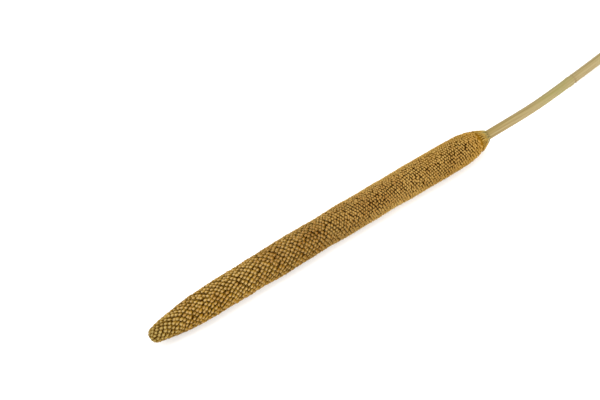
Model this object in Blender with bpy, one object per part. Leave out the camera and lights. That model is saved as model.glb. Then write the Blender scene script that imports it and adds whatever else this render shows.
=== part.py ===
"""A dried pearl millet seed head with its bare stem, lying on its side.

Units are metres and +Z is up. The spike lies along X with its blunt tip at -X and its
stem running off to +X. The origin is on the surface that it lies on, under the middle
of its bounding box. The spike is one solid: its surface is a tube of six-sided cells,
each raised to a point as a grain. The grains are larger than life, about one and a half
times, so that they can be counted in the solid. The stem is a second solid, and its top
sits in a shallow socket in the foot of the spike.
"""

import math

import bmesh
import bpy
import numpy as np

# Spike
HEAD_LENGTH = 0.290
HEAD_RADIUS = 0.012  # over the grain tips, where it is thickest
BOW = 0.0015  # sideways rise of its middle
REST_WIDTH = 0.005  # flat strip that it lies on

# Outline of the spike, in shares of its full radius and of its length
NOSE_DROP = 0.50
NOSE_REACH = 0.055
TAPER_DROP = 0.16
TAPER_REACH = 0.21
NOSE_ROUND = 0.014
FOOT_START = 0.88
FOOT_DROP = 0.55
FOOT_POWER = 3.1

# Grains
GRAINS_ROUND = 18
ROW_RATIO = math.sqrt(3) / 2  # row spacing over grain spacing, as in a honeycomb
RELIEF = 0.46  # how far a grain stands up, as a share of the spacing
GRAIN_WANDER = 0.10  # how far a grain's tip strays, as a share of the spacing
TIP_LEFT = 0.002  # share of the length at the tip that the last cap closes
STUB_ROWS = 2  # rows at the foot that stand out as longer stubs
STUB_EXTRA = 0.0016
SEED = 11

# Stem
STEM_LENGTH = 0.160
STEM_RADIUS = 0.0035
SOCKET_DEPTH = 0.006
GAP = 0.0003
STEM_SIDES_RESOLUTION = 4
STEM_STEP = 0.008
STEM_TURN = 0.14  # slope of the stem to the side, past its bend
STEM_BEND_AT = 0.045
STEM_BEND_REACH = 0.020

# Joint of the stem
JOINT_AT = 0.083
JOINT_SWELL = 0.14
JOINT_REACH = 0.0022
JOINT_STEP = 0.0012
JOINT_SPAN = 0.006

# Colours, linear
GRAIN_COLOUR = (0.42, 0.25, 0.075, 1.0)
STEM_COLOUR = (0.50, 0.37, 0.15, 1.0)

TURN = 2 * math.pi
VALLEY_RADIUS = HEAD_RADIUS - RELIEF * TURN * HEAD_RADIUS / GRAINS_ROUND
AXIS_HEIGHT = math.sqrt(VALLEY_RADIUS**2 - (REST_WIDTH / 2) ** 2)


def clear_scene():
    for item in list(bpy.data.objects):
        bpy.data.objects.remove(item, do_unlink=True)


def new_collection(name):
    collection = bpy.data.collections.new(name)
    bpy.context.scene.collection.children.link(collection)
    return collection


def plant_material(name, colour, roughness):
    material = bpy.data.materials.new(name)
    material.use_nodes = True
    shader = material.node_tree.nodes["Principled BSDF"]
    shader.inputs["Base Color"].default_value = colour
    shader.inputs["Roughness"].default_value = roughness
    shader.inputs["Metallic"].default_value = 0.0
    return material


def spike_radius(share):
    """Radius over the grain tips at a share of the length from the tip.

    It is the full radius less two decaying exponentials, a short one for the blunt nose
    and a long one for the slow taper. A quarter ellipse rounds the very end, and a power
    curve draws it in over the last stretch to the foot.
    """
    taper = 1 - NOSE_DROP * np.exp(-share / NOSE_REACH) - TAPER_DROP * np.exp(-share / TAPER_REACH)
    nose = np.clip(share / NOSE_ROUND, 0, 1)
    foot = np.clip((share - FOOT_START) / (1 - FOOT_START), 0, 1)
    return HEAD_RADIUS * taper * np.sqrt(nose * (2 - nose)) * (1 - FOOT_DROP * foot**FOOT_POWER)


def spike_profile(samples=4000):
    """The outline from tip to foot, with a running count of grain rows along it.

    The rows keep the honeycomb's spacing on any girth, so the count rises by the length
    of each short piece of the outline over the row spacing there.
    """
    share = TIP_LEFT + (1 - TIP_LEFT) * np.linspace(0, 1, samples) ** 2
    along = share * HEAD_LENGTH
    radius = spike_radius(share)
    run = np.diff(along)
    rise = np.diff(radius)
    length = np.hypot(run, rise)
    middle = (radius[1:] + radius[:-1]) / 2
    count = np.concatenate([[0], np.cumsum(length * GRAINS_ROUND / (ROW_RATIO * TURN * middle))])
    slope = np.gradient(radius, along)
    lean = np.hypot(1, slope)
    return {
        "count": count,
        "along": along,
        "radius": radius,
        "normal_along": -slope / lean,
        "normal_out": 1 / lean,
    }


def profile_at(profile, count, height):
    """Place on the outline at a row count, moved out along its normal by height."""
    values = {key: np.interp(count, profile["count"], profile[key]) for key in profile}
    along = values["along"] + values["normal_along"] * height
    radius = values["radius"] + values["normal_out"] * height
    return along, radius


def spacing_at(profile, count):
    return TURN * np.interp(count, profile["count"], profile["radius"]) / GRAINS_ROUND


def wrap_round(along, radius, angle):
    """Turn places on the outline into points round the bowed axis, flat underneath."""
    share = along / HEAD_LENGTH
    side = BOW * np.sin(math.pi * np.clip(share, 0, 1)) + radius * np.cos(angle)
    height = np.maximum(AXIS_HEIGHT + radius * np.sin(angle), 0)
    return np.stack(np.broadcast_arrays(along, side, height), axis=-1)


def ring_angles(rings):
    """Angles of the places in each ring: every other ring is turned by half a place."""
    half = (np.asarray(rings) % 2)[:, None] / 2
    return TURN * (np.arange(GRAINS_ROUND)[None, :] + half) / GRAINS_ROUND


def grain_tips(profile, rows):
    """One tip for each grain, straying a little from its place by a seeded draw."""
    draw = np.random.default_rng(SEED)
    count = np.arange(rows)[:, None] + 2 / 3
    spacing = spacing_at(profile, count)
    stray = draw.uniform(-GRAIN_WANDER, GRAIN_WANDER, (3, rows, GRAINS_ROUND)) * spacing
    stub = np.where(count > rows - STUB_ROWS, STUB_EXTRA, 0)
    along, radius = profile_at(profile, count, stub + stray[0] - GRAIN_WANDER * spacing)
    angle = ring_angles(np.arange(rows)) + stray[1] / np.maximum(radius, spacing)
    return wrap_round(along + stray[2], radius, angle)


def valley_ring(profile, rings, offset):
    """Corners of the cells, in the valleys between the grains."""
    count = rings[:, None] + offset
    along, radius = profile_at(profile, count, -RELIEF * spacing_at(profile, count))
    return along, radius


def grain_faces(rows, tips, low, high):
    """Six triangles from each grain's tip to the corners of its cell."""
    row, place = np.meshgrid(np.arange(rows), np.arange(GRAINS_ROUND), indexing="ij")
    after = (place + row % 2) % GRAINS_ROUND
    before = (after - 1) % GRAINS_ROUND
    corners = [
        low[row, place],
        high[row, after],
        low[row + 1, after],
        high[row + 1, place],
        low[row + 1, before],
        high[row, before],
    ]
    faces = []
    for first, second in zip(corners, corners[1:] + corners[:1]):
        faces.append(np.stack([first, second, tips[row, place]], axis=-1).reshape(-1, 3))
    return np.concatenate(faces).tolist()


def foot_loop(rows, low, high):
    """The zigzag edge at the foot, in order round the axis."""
    place = np.arange(GRAINS_ROUND)
    after = (place + (rows - 1) % 2) % GRAINS_ROUND
    return np.stack([high[rows, place], low[rows, after]], axis=-1).reshape(-1)


def socket_points(angle):
    """Rings at the mouth and the floor of the stem's socket, and the floor's centre."""
    radius = (STEM_RADIUS + GAP) / math.cos(math.pi / len(angle))
    floor = HEAD_LENGTH - SOCKET_DEPTH
    mouth_ring = wrap_round(HEAD_LENGTH, radius, angle)
    floor_ring = wrap_round(floor, radius, angle)
    centre = wrap_round(np.array([floor]), 0.0, 0.0)
    return np.concatenate([mouth_ring, floor_ring, centre])


def band(lower, upper):
    """Quads between two rings of as many points."""
    return [list(face) for face in zip(lower, np.roll(lower, -1), np.roll(upper, -1), upper)]


def fan(ring, centre):
    return [[first, second, centre] for first, second in zip(ring, np.roll(ring, -1))]


def spike_mesh():
    """The closed surface of the spike: grains, a cap at the tip and a socket at the foot."""
    profile = spike_profile()
    rows = round(profile["count"][-1])
    profile["count"] *= (rows + 1 / 3) / profile["count"][-1]

    rings = np.arange(rows + 1)
    low_along, low_radius = valley_ring(profile, rings, 0)
    high_along, high_radius = valley_ring(profile, rings, 1 / 3)
    points = [
        grain_tips(profile, rows).reshape(-1, 3),
        wrap_round(low_along, low_radius, ring_angles(rings)).reshape(-1, 3),
        wrap_round(high_along, high_radius, ring_angles(rings - 1)).reshape(-1, 3),
    ]
    tips = np.arange(rows * GRAINS_ROUND).reshape(rows, GRAINS_ROUND)
    low = tips.size + np.arange((rows + 1) * GRAINS_ROUND).reshape(rows + 1, GRAINS_ROUND)
    high = low + low.size
    faces = grain_faces(rows, tips, low, high)

    nose = high[-1, -1] + 1
    points.append(wrap_round(np.array([0.0]), 0.0, 0.0))
    edge = np.stack([low[0], high[0]], axis=-1).reshape(-1)
    faces += fan(edge[::-1], nose)

    foot = foot_loop(rows, low, high)
    start = math.pi * ((rows - 1) % 2) / GRAINS_ROUND
    points.append(socket_points(start + TURN * np.arange(foot.size) / foot.size))
    mouth = nose + 1 + np.arange(foot.size)
    floor = mouth + foot.size
    faces += band(foot, mouth) + band(mouth, floor) + fan(floor, floor[-1] + 1)

    mesh = bpy.data.meshes.new("seed_head")
    mesh.from_pydata(np.concatenate(points).tolist(), [], faces)
    work = bmesh.new()
    work.from_mesh(mesh)
    bmesh.ops.triangulate(work, faces=work.faces)
    work.to_mesh(mesh)
    work.free()
    mesh.shade_smooth()
    return mesh


def seed_head(collection):
    mesh = spike_mesh()
    mesh.materials.append(plant_material("grains", GRAIN_COLOUR, 0.8))
    item = bpy.data.objects.new("seed_head", mesh)
    collection.objects.link(item)
    return item


def stem_stations():
    """Distances past the foot of the spike, closer together at the joint."""
    coarse = np.linspace(0, STEM_LENGTH, round(STEM_LENGTH / STEM_STEP) + 1)
    coarse = coarse[np.abs(coarse - JOINT_AT) > JOINT_SPAN + JOINT_STEP]
    fine = JOINT_AT + np.arange(-JOINT_SPAN, JOINT_SPAN + JOINT_STEP / 2, JOINT_STEP)
    return np.sort(np.concatenate([[GAP - SOCKET_DEPTH], coarse, fine]))


def stem_path(past):
    """Centre line of the stem.

    To the side it follows a hyperbola's arm, level at the spike and then a steady slope.
    In height it sinks by a smooth step from the spike's axis until its cut end lies on
    the surface.
    """
    reach = past - STEM_BEND_AT
    side = STEM_TURN * (np.hypot(reach, STEM_BEND_REACH) + reach) / 2
    side -= STEM_TURN * (math.hypot(STEM_BEND_AT, STEM_BEND_REACH) - STEM_BEND_AT) / 2
    side = np.where(past > 0, side, 0)
    step = np.clip(past / STEM_LENGTH, 0, 1)
    drop = AXIS_HEIGHT - STEM_RADIUS
    height = AXIS_HEIGHT - drop * step**2 * (3 - 2 * step)
    return np.stack([HEAD_LENGTH + past, side, height], axis=-1)


def stem_girth(past):
    """Radius of the stem over its plain radius: a bell-shaped swelling at the joint."""
    return 1 + JOINT_SWELL * np.exp(-(((past - JOINT_AT) / JOINT_REACH) ** 2))


def stem(collection):
    past = stem_stations()
    curve = bpy.data.curves.new("stem", "CURVE")
    curve.dimensions = "3D"
    curve.bevel_depth = STEM_RADIUS
    curve.bevel_resolution = STEM_SIDES_RESOLUTION
    curve.use_fill_caps = True
    spline = curve.splines.new("POLY")
    spline.points.add(len(past) - 1)
    for point, place, girth in zip(spline.points, stem_path(past), stem_girth(past)):
        point.co = (*place, 1)
        point.radius = girth
    curve.materials.append(plant_material("stem", STEM_COLOUR, 0.55))
    item = bpy.data.objects.new("stem", curve)
    collection.objects.link(item)
    return item


def world_points(item):
    evaluated = item.evaluated_get(bpy.context.evaluated_depsgraph_get())
    mesh = evaluated.to_mesh()
    flat = np.empty(len(mesh.vertices) * 3)
    mesh.vertices.foreach_get("co", flat)
    evaluated.to_mesh_clear()
    return flat.reshape(-1, 3)


def stand_on_origin(items):
    """Move the objects so that the origin is under the middle of their bounding box."""
    points = np.concatenate([world_points(item) for item in items])
    low = points.min(axis=0)
    high = points.max(axis=0)
    middle = (low + high) / 2
    for item in items:
        item.location = (-middle[0], -middle[1], -low[2])


def main():
    clear_scene()
    parts = new_collection("pearl_millet_seed_head")
    stand_on_origin([seed_head(parts), stem(parts)])


main()
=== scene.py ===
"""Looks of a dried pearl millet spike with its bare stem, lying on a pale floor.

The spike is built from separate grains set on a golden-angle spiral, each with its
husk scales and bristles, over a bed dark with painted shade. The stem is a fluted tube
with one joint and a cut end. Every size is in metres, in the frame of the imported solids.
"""

from __future__ import annotations

import logging
import math
from dataclasses import dataclass, replace
from enum import Enum
from typing import Union

import bpy
import numpy as np
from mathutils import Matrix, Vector


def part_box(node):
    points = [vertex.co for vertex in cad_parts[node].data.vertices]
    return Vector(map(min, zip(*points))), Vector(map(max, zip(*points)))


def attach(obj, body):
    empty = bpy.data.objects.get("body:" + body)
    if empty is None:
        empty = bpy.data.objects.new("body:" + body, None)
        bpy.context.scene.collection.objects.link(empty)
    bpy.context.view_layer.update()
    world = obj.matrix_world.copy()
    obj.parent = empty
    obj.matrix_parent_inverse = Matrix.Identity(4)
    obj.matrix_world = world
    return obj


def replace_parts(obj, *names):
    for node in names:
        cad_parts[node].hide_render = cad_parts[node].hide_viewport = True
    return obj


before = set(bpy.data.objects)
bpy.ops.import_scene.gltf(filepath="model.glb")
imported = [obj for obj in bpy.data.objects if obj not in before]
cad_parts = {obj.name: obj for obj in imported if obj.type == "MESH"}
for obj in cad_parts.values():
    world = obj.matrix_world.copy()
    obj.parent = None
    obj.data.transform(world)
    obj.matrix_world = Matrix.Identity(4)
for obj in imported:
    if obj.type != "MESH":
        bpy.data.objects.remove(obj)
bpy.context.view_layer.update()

LOG = logging.getLogger("millet")
TURN = 2 * math.pi
GOLDEN_ANGLE = math.pi * (3 - math.sqrt(5))
BODY = "root"
TOP = (0.5, 0.9)  # heights between which the side of a grain or bristle turns into its top

Colour = tuple[float, float, float]
Value = Union["Wire", float, Colour]


class Slot(Enum):
    """Material slots of the record."""

    GRAINS = "grains"
    STEM = "stem"


class Wire:
    """A value inside a material, whose operators add the Math nodes that work it out."""

    def __init__(self, painter: "Painter", socket: bpy.types.NodeSocket) -> None:
        """Wraps a node's output socket, and keeps the painter that made it."""
        self.painter = painter
        self.socket = socket

    def _math(self, operation: str, first: Value, second: Value) -> "Wire":
        """Adds one Math node."""
        return self.painter.node("ShaderNodeMath", {"operation": operation}, {0: first, 1: second})

    def __add__(self, other: Value) -> "Wire":
        """Sum of the two."""
        return self._math("ADD", self, other)

    def __radd__(self, other: Value) -> "Wire":
        """Sum of the two, with the wire on the right."""
        return self._math("ADD", other, self)

    def __sub__(self, other: Value) -> "Wire":
        """Wire less the other."""
        return self._math("SUBTRACT", self, other)

    def __rsub__(self, other: Value) -> "Wire":
        """The other less the wire."""
        return self._math("SUBTRACT", other, self)

    def __mul__(self, other: Value) -> "Wire":
        """Product of the two."""
        return self._math("MULTIPLY", self, other)

    def __rmul__(self, other: Value) -> "Wire":
        """Product of the two, with the wire on the right."""
        return self._math("MULTIPLY", other, self)


class Painter:
    """Adds the nodes of one material, which ends in a Principled shader."""

    def __init__(self, name: str) -> None:
        """Starts an empty material.

        Args:
            name: the material's name.
        """
        self.material = bpy.data.materials.new(name)
        self.material.use_nodes = True
        self.tree = self.material.node_tree
        self.tree.nodes.clear()
        self.shader = self.tree.nodes.new("ShaderNodeBsdfPrincipled")
        output = self.tree.nodes.new("ShaderNodeOutputMaterial")
        self.tree.links.new(self.shader.outputs[0], output.inputs["Surface"])

    def node(
        self,
        kind: str,
        settings: dict[str, object],
        inputs: dict[Union[int, str], Value],
        output: Union[int, str] = 0,
    ) -> Wire:
        """Adds one node.

        Args:
            kind: Blender's type name of the node.
            settings: its properties, or under "stops" a ramp's places and colours.
            inputs: a value or a wire for each input, by number or name.
            output: which of its outputs is wanted.

        Returns:
            The wanted output.
        """
        made = self.tree.nodes.new(kind)
        for key, setting in settings.items():
            if key == "stops":
                self._set_stops(made, setting)
            else:
                setattr(made, key, setting)
        for key, value in inputs.items():
            self.feed(made.inputs[key], value)
        return Wire(self, made.outputs[output])

    @staticmethod
    def _set_stops(made: bpy.types.Node, stops: list[tuple[float, Colour]]) -> None:
        """Sets a colour ramp's stops.

        Args:
            made: the ramp's node.
            stops: place and colour of each stop, from 0 to 1.
        """
        elements = made.color_ramp.elements
        while len(elements) < len(stops):
            elements.new(1.0)
        for element, (place, colour) in zip(elements, stops):
            element.position = place
            element.color = (*colour, 1.0)

    def feed(self, socket: bpy.types.NodeSocket, value: Value) -> None:
        """Links a wire to an input, or sets the input to a plain value.

        Args:
            socket: the input.
            value: a wire, a number, or a colour or vector as a tuple.
        """
        if isinstance(value, Wire):
            self.tree.links.new(value.socket, socket)
        elif isinstance(value, tuple) and len(socket.default_value) == 4:
            socket.default_value = (*value, 1.0)
        else:
            socket.default_value = value

    def place(self) -> Wire:
        """Object coordinates, in metres."""
        return self.node("ShaderNodeTexCoord", {}, {}, "Object")

    def point_value(self, name: str) -> Wire:
        """A number that the mesh holds for each point."""
        return self.node("ShaderNodeAttribute", {"attribute_name": name}, {}, "Fac")

    def point_vector(self, name: str) -> Wire:
        """A vector that the mesh holds for each point."""
        return self.node("ShaderNodeAttribute", {"attribute_name": name}, {}, "Vector")

    def stretch(self, vector: Wire, scale: Colour) -> Wire:
        """A vector with each axis scaled."""
        return self.node("ShaderNodeMapping", {"vector_type": "POINT"}, {"Vector": vector, "Scale": scale})

    def noise(self, vector: Wire, scale: float, detail: float = 3.0) -> Wire:
        """Cloudy noise from 0 to 1."""
        return self.node("ShaderNodeTexNoise", {}, {"Vector": vector, "Scale": scale, "Detail": detail})

    def ramp(self, factor: Wire, stops: list[tuple[float, Colour]]) -> Wire:
        """A colour read off a row of stops."""
        return self.node("ShaderNodeValToRGB", {"stops": stops}, {"Fac": factor})

    def mix(self, factor: Value, first: Value, second: Value, blend: str = "MIX") -> Wire:
        """Two colours mixed, or blended in another of Blender's ways."""
        settings = {"data_type": "RGBA", "blend_type": blend}
        return self.node("ShaderNodeMix", settings, {0: factor, 6: first, 7: second}, 2)

    def span(self, value: Wire, low: float, high: float) -> Wire:
        """A value's share of the way from low to high, held between 0 and 1."""
        return self.node("ShaderNodeMapRange", {"clamp": True}, {"Value": value, 1: low, 2: high})

    def along(self) -> Wire:
        """The object coordinate that runs along the spike."""
        return self.node("ShaderNodeSeparateXYZ", {}, {0: self.place()}, "X")

    def hump(self, value: Wire, middle: float, reach: float) -> Wire:
        """1 less the squared distance from the middle over the reach, and 0 past the reach."""
        off = (value - middle) * (1 / reach)
        return 1 - self.span(off * off, 0.0, 1.0)

    def bump(self, height: Wire, strength: float, distance: float) -> Wire:
        """A bumped normal."""
        return self.node("ShaderNodeBump", {}, {"Height": height, "Strength": strength, "Distance": distance})

    def finish(self, **inputs: Value) -> bpy.types.Material:
        """Feeds the shader and hands the material over.

        Args:
            **inputs: values or wires, by the shader's input names with _ for spaces.

        Returns:
            The finished material.
        """
        for key, value in inputs.items():
            self.feed(self.shader.inputs[key.replace("_", " ")], value)
        return self.material


@dataclass(frozen=True)
class GrainFinish:
    """Gold grains: pale at the tips, darkened down into the gaps with painted shade, olive towards the blunt
    end.

    Attributes:
        name: the material's name.
        gap_shade: painted shade deep between the grains.
        flank: colour of a grain's side, partly darkened as painted shade.
        gold: colour of its shoulder.
        pale: colour of its top.
        rust: stain on some grains and in patches.
        olive: colour of the tops by the tip of the spike.
        orange: colour of the tops by its foot.
        dusk: darkening in the middle of the spike, most on the sides of the grains, where it deepens the
            painted shade.
        warm: stain on the half by the foot.
        tip_x: where the spike's tip is.
        foot_x: where its foot is.
        olive_reach: length over which the olive fades out.
        orange_reach: length over which the orange fades in.
        ends: strength of the olive and the orange.
        dusk_at: middle of the dusk, as a share of the spike's length.
        dusk_reach: how far it reaches either way, as the same share.
        dusk_spared: share of it that the tops are spared.
        warm_span: shares of the length where the warm stain begins and is full.
        rust_grain: strength of the rust on the rustiest grain.
        rust_patch: strength of the rust in a patch.
    """

    name: str
    # The gap and flank colours are painted shade, which darkens each grain down its side into the gaps.
    gap_shade: Colour = (0.054, 0.018, 0.0001)
    flank: Colour = (0.180, 0.086, 0.002)
    gold: Colour = (0.268, 0.156, 0.025)
    pale: Colour = (0.378, 0.260, 0.107)
    rust: Colour = (0.620, 0.420, 0.260)
    olive: Colour = (0.250, 0.200, 0.055)
    orange: Colour = (0.360, 0.190, 0.030)
    # Darkening in the middle of the spike; the tops are spared, so on the grains' sides it adds painted
    # shade.
    dusk: Colour = (0.600, 0.480, 0.360)
    warm: Colour = (0.935, 0.848, 0.650)
    tip_x: float = 0.0
    foot_x: float = 0.0
    olive_reach: float = 0.028
    orange_reach: float = 0.024
    ends: float = 0.6
    dusk_at: float = 0.48
    dusk_reach: float = 0.26
    dusk_spared: float = 0.62
    warm_span: tuple[float, float] = (0.40, 0.62)
    rust_grain: float = 0.35
    rust_patch: float = 0.45

    def build(self) -> bpy.types.Material:
        """Colour by height on the grain, which paints shade down into the gaps, then by grain, by patch and
        by place.

        Returns:
            The material.
        """
        paint = Painter(self.name)
        along = paint.along()
        rise = paint.point_value("rise")
        top = paint.span(rise, *TOP)
        # Painted shade: near black deep in the gaps, lightening up the grain's side to its pale top.
        stops = [(0.0, self.gap_shade), (0.30, self.gap_shade), (0.52, self.flank), (0.80, self.gold), (1.0, self.pale)]
        colour = paint.ramp(rise, stops)
        rusty = paint.span(paint.point_value("kind"), 0.6, 1.0)
        colour = paint.mix(rusty * self.rust_grain, colour, self.rust, "MULTIPLY")
        patch = paint.span(paint.noise(paint.place(), 60.0), 0.4, 0.7)
        colour = paint.mix(patch * self.rust_patch, colour, self.rust, "MULTIPLY")
        length = self.foot_x - self.tip_x
        # Darker in the middle of the spike, and most on the grains' sides, where it is painted shade.
        dusky = paint.hump(along, self.tip_x + self.dusk_at * length, self.dusk_reach * length)
        colour = paint.mix(dusky * (1 - self.dusk_spared * top), colour, self.dusk, "MULTIPLY")
        low, high = (self.tip_x + share * length for share in self.warm_span)
        colour = paint.mix(paint.span(along, low, high), colour, self.warm, "MULTIPLY")
        near_tip = 1 - paint.span(along, self.tip_x, self.tip_x + self.olive_reach)
        colour = paint.mix(near_tip * top * self.ends, colour, self.olive)
        near_foot = paint.span(along, self.foot_x - self.orange_reach, self.foot_x)
        colour = paint.mix(near_foot * top * self.ends, colour, self.orange)
        grit = paint.noise(paint.place(), 2600.0, 2.0)
        return paint.finish(
            Base_Color=colour,
            Roughness=0.9 - 0.25 * rise,
            Normal=paint.bump(grit, 0.25, 0.0001),
            Specular_IOR_Level=0.0,
        )


@dataclass(frozen=True)
class HuskFinish:
    """Papery husk and bristle: straw at the tip, and by default near black at the root as painted shade
    between the grains.

    Attributes:
        name: the material's name.
        root: colour of the root; the near-black default is painted shade between the grains.
        middle: colour halfway up, and in part of the duller scales' tips.
        tip: colour of the tip.
        spot: colour of the brown spots.
        spots: strength of the spots, 0 for none.
        pale_middle: lighter colour of the tips in the middle of the spike.
        tip_x: where the spike's tip is.
        foot_x: where its foot is, or the same as tip_x for no lighter middle.
        pale_middle_at: middle of that lighter stretch, as a share of the spike's length.
        pale_middle_reach: how far it reaches either way, as the same share.
        pale_middle_share: strength of that lighter colour.
        dullness: how much of the middle's colour the dullest tip takes on.
    """

    name: str
    # Near black: painted shade deep between the grains.
    root: Colour = (0.058, 0.020, 0.0002)
    middle: Colour = (0.225, 0.118, 0.006)
    tip: Colour = (0.390, 0.257, 0.066)
    spot: Colour = (0.130, 0.058, 0.006)
    spots: float = 0.0
    pale_middle: Colour = (0.660, 0.500, 0.210)
    tip_x: float = 0.0
    foot_x: float = 0.0
    pale_middle_at: float = 0.54
    pale_middle_reach: float = 0.34
    pale_middle_share: float = 0.8
    dullness: float = 0.45

    def build(self) -> bpy.types.Material:
        """Colour by height, with painted shade at the roots by default, shifted a little from one scale to
        the next.

        Returns:
            The material.
        """
        paint = Painter(self.name)
        rise = paint.point_value("rise")
        # By default near black up to a third of the height: painted shade at the roots, deep between the
        # grains.
        stops = [(0.0, self.root), (0.35, self.root), (0.68, self.middle), (0.96, self.tip)]
        colour = paint.ramp(rise, stops)
        # The duller tips' shift grows with the height, so the roots keep their painted shade.
        colour = paint.mix(paint.point_value("kind") * rise * self.dullness, colour, self.middle)
        if self.foot_x > self.tip_x:
            length = self.foot_x - self.tip_x
            middle = self.tip_x + self.pale_middle_at * length
            # Lighter tops in the middle stretch of the spike.
            hump = paint.hump(paint.along(), middle, self.pale_middle_reach * length)
            colour = paint.mix(hump * paint.span(rise, *TOP) * self.pale_middle_share, colour, self.pale_middle)
        if self.spots:
            spot = paint.span(paint.noise(paint.place(), 700.0, 2.0), 0.50, 0.68)
            colour = paint.mix(spot * self.spots, colour, self.spot)
        return paint.finish(Base_Color=colour, Roughness=0.9, Specular_IOR_Level=0.0)


@dataclass(frozen=True)
class BedFinish:
    """The floor between the grains, near black as painted shade, lighter in the groove before the collar.

    Attributes:
        name: the material's name.
        dark: colour of the darker mottles, painted shade.
        warm: colour of the lighter mottles, also painted shade.
        groove: colour in the groove and on the foot.
        foot_x: where the spike's foot is.
        groove_span: distances before the foot where that colour begins and is full.
        groove_share: strength of that colour.
    """

    name: str
    # Both mottle colours are near black: painted shade deep under the grains.
    dark: Colour = (0.036, 0.011, 0.0002)
    warm: Colour = (0.090, 0.034, 0.001)
    groove: Colour = (0.190, 0.090, 0.006)
    foot_x: float = 0.0
    groove_span: tuple[float, float] = (0.011, 0.008)
    groove_share: float = 0.8

    def build(self) -> bpy.types.Material:
        """Near-black brown with fine mottling, as painted shade.

        Returns:
            The material.
        """
        paint = Painter(self.name)
        mottle = paint.noise(paint.place(), 900.0)
        # Mottled near black: painted shade under the grains.
        colour = paint.mix(paint.span(mottle, 0.3, 0.7), self.dark, self.warm)
        low, high = (self.foot_x - distance for distance in self.groove_span)
        colour = paint.mix(paint.span(paint.along(), low, high) * self.groove_share, colour, self.groove)
        return paint.finish(
            Base_Color=colour,
            Roughness=0.95,
            Normal=paint.bump(mottle, 0.5, 0.0003),
            Specular_IOR_Level=0.0,
        )


@dataclass(frozen=True)
class StemFinish:
    """Straw-coloured stalk with fine fibres, green patches and a browner joint.

    Attributes:
        name: the material's name.
        straw: main colour.
        shade: colour of the darker streaks and fibres.
        light: colour of the lighter streaks.
        green: colour of the green patches.
        joint: colour of the ring at the joint.
        warm: stain by the foot of the spike.
        pith: colour of the cut face between its pores.
        fibres: strength of the fibres.
        greenness: strength of the green patches.
    """

    name: str
    straw: Colour = (0.224, 0.169, 0.072)
    shade: Colour = (0.138, 0.090, 0.025)
    light: Colour = (0.280, 0.228, 0.117)
    green: Colour = (0.192, 0.172, 0.055)
    joint: Colour = (0.119, 0.064, 0.018)
    warm: Colour = (0.800, 0.710, 0.430)
    pith: Colour = (0.556, 0.476, 0.302)
    fibres: float = 0.4
    greenness: float = 0.8

    def build(self) -> bpy.types.Material:
        """Fibres run along the stalk; greenness, joint and cut face are held by the mesh.

        Returns:
            The material.
        """
        paint = Painter(self.name)
        run = paint.point_vector("run")
        fibre = paint.noise(paint.stretch(run, (14.0, 14.0, 30.0)), 1.0, 4.0)
        streak = paint.noise(paint.stretch(run, (3.0, 3.0, 22.0)), 1.0, 3.0)
        blotch = paint.noise(paint.stretch(run, (1.2, 1.2, 60.0)), 1.0, 2.0)
        stops = [(0.0, self.shade), (0.45, self.straw), (1.0, self.light)]
        colour = paint.ramp(paint.span(streak, 0.25, 0.78), stops)
        colour = paint.mix(paint.span(fibre, 0.55, 0.8) * self.fibres, colour, self.shade)
        patch = paint.point_value("green") * paint.span(blotch, 0.25, 0.6)
        colour = paint.mix(patch * self.greenness, colour, self.green)
        colour = paint.mix(paint.point_value("warm"), colour, self.warm, "MULTIPLY")
        colour = paint.mix(paint.point_value("joint"), colour, self.joint)
        pores = paint.span(paint.noise(paint.place(), 2800.0, 1.0), 0.42, 0.62)
        pith = paint.mix(pores, self.straw, self.pith)
        colour = paint.mix(paint.point_value("cut"), colour, pith)
        return paint.finish(
            Base_Color=colour,
            Roughness=0.42 + 0.2 * fibre,
            Normal=paint.bump(fibre, 0.35, 0.0003),
            Specular_IOR_Level=0.3,
        )


@dataclass(frozen=True)
class FloorFinish:
    """Plain matt white.

    Attributes:
        name: the material's name.
        white: its colour.
        glow: strength of its own light, which softens the shadows.
    """

    name: str
    white: Colour = (0.90, 0.90, 0.895)
    glow: float = 0.14

    def build(self) -> bpy.types.Material:
        """One even colour with a trace of mottling in its roughness.

        Returns:
            The material.
        """
        paint = Painter(self.name)
        mottle = paint.noise(paint.place(), 6.0)
        return paint.finish(
            Base_Color=self.white,
            Roughness=0.75 + 0.1 * mottle,
            Emission_Color=self.white,
            Emission_Strength=self.glow,
        )


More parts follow.
